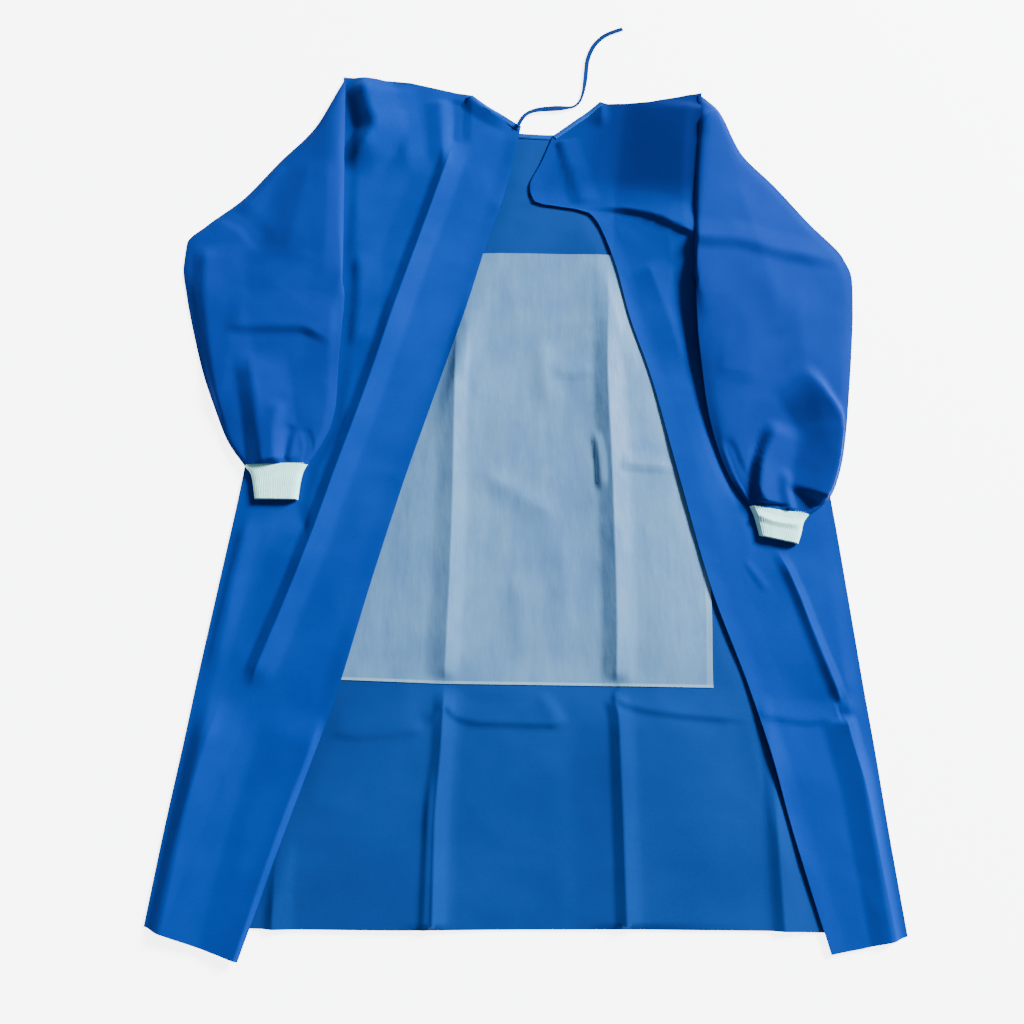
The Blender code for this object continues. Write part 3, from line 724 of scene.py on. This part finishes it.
for side_name, sections, side_line, side, creases, carried, seed, cut in (
    ("left", LEFT_SLEEVE, LEFT_SIDE, 1, LEFT_SLEEVE_CREASES, LEFT_SLEEVE_EDGE, 31, 0.197),
    ("right", RIGHT_SLEEVE, RIGHT_SIDE, -1, RIGHT_SLEEVE_CREASES, RIGHT_SLEEVE_EDGE, 47, 0.223),
):
    counts = [station_rows] * (len(sections) - 1)
    tube = sleeve_tube(
        sections, counts, sleeve_half, side_line, side, creases, carried, (1.3, 90, seed),
        sleeve_room, sewn=True,
    )
    sleeve = cloth("gown_sleeve_" + side_name, *tube, sleeve_shaded_blue, cloth_thick, closed=True)
    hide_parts("sleeve_" + side_name)
    "gown_back_" + side_name

# Cuffs. Tubes of white rib knit, half a hand's breadth long, close the sleeves on the wrist.
# The sleeve's end is gathered onto the knit's wider top edge.
LEFT_CUFF = (
    ((-279, 67), (-366, 65), 0), ((-285, 54), (-355, 52), 0), ((-288, 34), (-350, 33), 0),
    ((-289, 16), (-347, 17), 0),
)
RIGHT_CUFF = (
    ((320, 7), (399, -4), 0), ((325, -7), (390, -16), 0), ((328, -22), (385, -32), 0),
    ((330, -34), (380, -45), 0),
)
RIGHT_CUFF_CREASES = ((2.5, 7, 9, 1.2, (0.1, 0.3), ((322, -4), (350, -16), (376, -20), (392, -12))),)
CUFF_MARKS = (0.5, 40, 5)
rib_pitch, rib_height = 2.2, 0.25
cuff_level, cuff_room = -1.0, 4.0
cuff_half, knit_thick = 110, 1.0
knit_white, knit_shader, knit_flat = new_finish("knit_white", roughness=0.9, gloss=0.1, sheen=0.25)
knit_loops = knit_flat.node("ShaderNodeTexWave", {"bands_direction": "Y"},
                            {"Vector": knit_flat, "Scale": 0.26, "Distortion": 1.2, "Detail": 1.0})
knit_tone = knit_loops * 0.3 + noise(knit_flat, 0.08, 3.0) * 0.7
knit_colour = blend(knit_tone.step(0.25, 0.75), (0.40, 0.84, 0.76, 1), (0.50, 0.97, 0.90, 1))
knit_colour.feed(knit_shader.inputs["Base Color"])
knit_bump = knit_flat.node("ShaderNodeBump", {},
                           {"Height": knit_loops, "Strength": 0.35, "Distance": 0.0004})
knit_bump.feed(knit_shader.inputs["Normal"])
for side_name, sections, side_line, side, creases, cut in (
    ("left", LEFT_CUFF, LEFT_SIDE, 1, (), (0.15, 0.05)),
    ("right", RIGHT_CUFF, RIGHT_SIDE, -1, RIGHT_CUFF_CREASES, (0.13, 0.046)),
):
    counts = [station_rows] * (len(sections) - 1)
    tube_x, tube_y, tube_z = sleeve_tube(
        sections, counts, cuff_half, side_line, side, creases, (), CUFF_MARKS, cuff_room, sewn=False,
    )
    span = np.hypot(np.diff(tube_x[-1]), np.diff(tube_y[-1]))
    ribs = np.cos(np.concatenate([[0], np.cumsum(span)]) * 2 * np.pi / rib_pitch)
    tube_z = tube_z + cuff_level + ribs * rib_height
    cuff = cloth("knit_cuff_" + side_name, tube_x, tube_y, tube_z, knit_white, knit_thick, closed=True)
    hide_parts("cuff_" + side_name)
    "gown_back_" + side_name

# Neck bindings. A narrow strip of the cloth is folded over the neck edge of each panel and
# sewn down with a line of lockstitch.
binding_width, binding_thick, binding_rows = 8.0, 0.3, 4
# Across the strip, from under the panel over to its top: share of the width in from the
# panel's edge, height about the panel.
BINDING_IN = (1.0, 0.6, 0.2, -0.05, -0.05, 0.2, 0.6, 1.0)
BINDING_RISE = (-0.6, -0.7, -0.7, -0.4, 0.6, 1.0, 1.0, 0.8)
stitch_length, stitch_pitch, thread_width = 2.6, 3.6, 0.5
stitch_share, stitch_rise = 0.75, 1.2
thread_blue = bpy.data.materials.new("thread_blue")
thread_blue.use_nodes = True
thread_shader = thread_blue.node_tree.nodes["Principled BSDF"]
thread_shader.inputs["Base Color"].default_value = (0.02, 0.12, 0.42, 1)
# Painted highlight: the strips get a lighter copy of the cloth's blue, for the light that the raised
# binding catches.
binding_blue = nonwoven_finish("binding_blue", (0.003, 0.037, 0.22, 1), (0.005, 0.052, 0.28, 1), seed=70.0)


def stitches(name, path):
    """Short flat bars of thread in one row along a path of points."""
    run = np.concatenate([[0], np.cumsum(np.linalg.norm(np.diff(path, axis=0), axis=1))])
    starts = np.arange(1, run[-1] - stitch_pitch, stitch_pitch)
    a, b = (np.stack([np.interp(at, run, path[:, k]) for k in range(3)], axis=1)
            for at in (starts, starts + stitch_length))
    heading = (b - a) / np.linalg.norm(b - a, axis=1, keepdims=True)
    side = np.cross(heading, (0, 0, 1)) * thread_width / 2
    ring = np.stack([a - side, a + side, b + side, b - side], axis=1)
    rise = np.array((0, 0, thread_width / 2))
    points = np.concatenate([ring - rise, ring + rise], axis=1).reshape(-1, 3)
    bar = ((0, 1, 2, 3), (7, 6, 5, 4), (0, 4, 5, 1), (1, 5, 6, 2), (2, 6, 7, 3), (3, 7, 4, 0))
    faces = [[8 * k + corner for corner in face] for k in range(len(starts)) for face in bar]
    mesh = bpy.data.meshes.new(name)
    mesh.from_pydata(((points - (*layout_middle, 0)) * MM).tolist(), [], faces)
    mesh.materials.append(thread_blue)
    row = bpy.data.objects.new(name, mesh)
    bpy.context.scene.collection.objects.link(row)
    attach(row, "root")


def binding(name, x, y, z):
    """Strip that wraps the first row of a panel, from its underside over to its top."""
    ox, oy = -np.gradient(y[0]), np.gradient(x[0])
    in_x, in_y, in_z = x[-1] - x[0], y[-1] - y[0], z[-1] - z[0]
    size = np.hypot(ox, oy) * np.sign(ox * in_x + oy * in_y)
    ox, oy = ox / size, oy / size
    slope = in_z / np.hypot(in_x, in_y)
    reach = np.array(BINDING_IN)[:, None] * binding_width
    rise = np.array(BINDING_RISE)[:, None]
    strip = cloth(
        name, x[0] + ox * reach, y[0] + oy * reach, z[0] + slope * reach + rise,
        binding_blue, binding_thick,
    )
    seam = binding_width * stitch_share
    path = np.stack([x[0] + ox * seam, y[0] + oy * seam, z[0] + slope * seam + stitch_rise], axis=1)
    stitches(name + "_stitches", path)
    return strip


neck_margin = 3
front_neck = slice(neck_first + neck_margin, neck_last + 1 - neck_margin)
left_neck = slice(LEFT_BACK_ACROSS[0], None)
right_neck = slice(0, RIGHT_BACK_ACROSS[0] + 1)
for side_name, grids, columns, length in (
    ("front", (front_x, front_y, front_z), front_neck, 0.198),
    ("left", (left_x, left_y, left_z), left_neck, 0.1),
    ("right", (right_x, right_y, right_z), right_neck, 0.095),
):
    x, y, z = (grid[:binding_rows, columns] for grid in grids)
    strip = binding(side_name + "_neck_binding", x, y, z)
    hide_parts("neck_binding_" + side_name)

# Neck tie. A flat strap of the binding runs on from the left panel's neck corner and lies
# loose across the neck opening, with a pinched stretch about halfway along.
TIE_PATH = (
    (9, 613, 8.5), (17, 630, 7.0), (27, 642, 3.6), (46, 649, 2), (69, 650, 3), (93, 653, 2),
    (106, 665, 1.2), (112, 684, 1), (116, 710, 1), (119, 738, 1), (129, 768, 1), (150, 792, 1),
    (178, 805, 1),
)
TIE_WIDTHS = (6, 6, 6, 8, 9, 4, 4, 5, 7, 7, 7, 7, 7)
tie_thick, tie_columns, tie_rows = 0.8, 5, 8
tie_navy = nonwoven_finish("tie_navy", (0.003, 0.012, 0.085, 1), (0.007, 0.03, 0.16, 1), seed=15.0)
tie_steps = [tie_rows] * (len(TIE_PATH) - 1)
path = smooth_line(TIE_PATH, tie_steps)
heading = np.gradient(path[:, :2], axis=0)
heading /= np.hypot(heading[:, :1], heading[:, 1:])
across = np.linspace(-0.5, 0.5, tie_columns)
offsets = across[None, :] * smooth_line(TIE_WIDTHS, tie_steps)[:, None]
tie = cloth(
    "loose_neck_tie", path[:, :1] + heading[:, 1:] * offsets, path[:, 1:2] - heading[:, :1] * offsets,
    path[:, 2:] + 0 * offsets, tie_navy, tie_thick,
)
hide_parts("neck_tie")
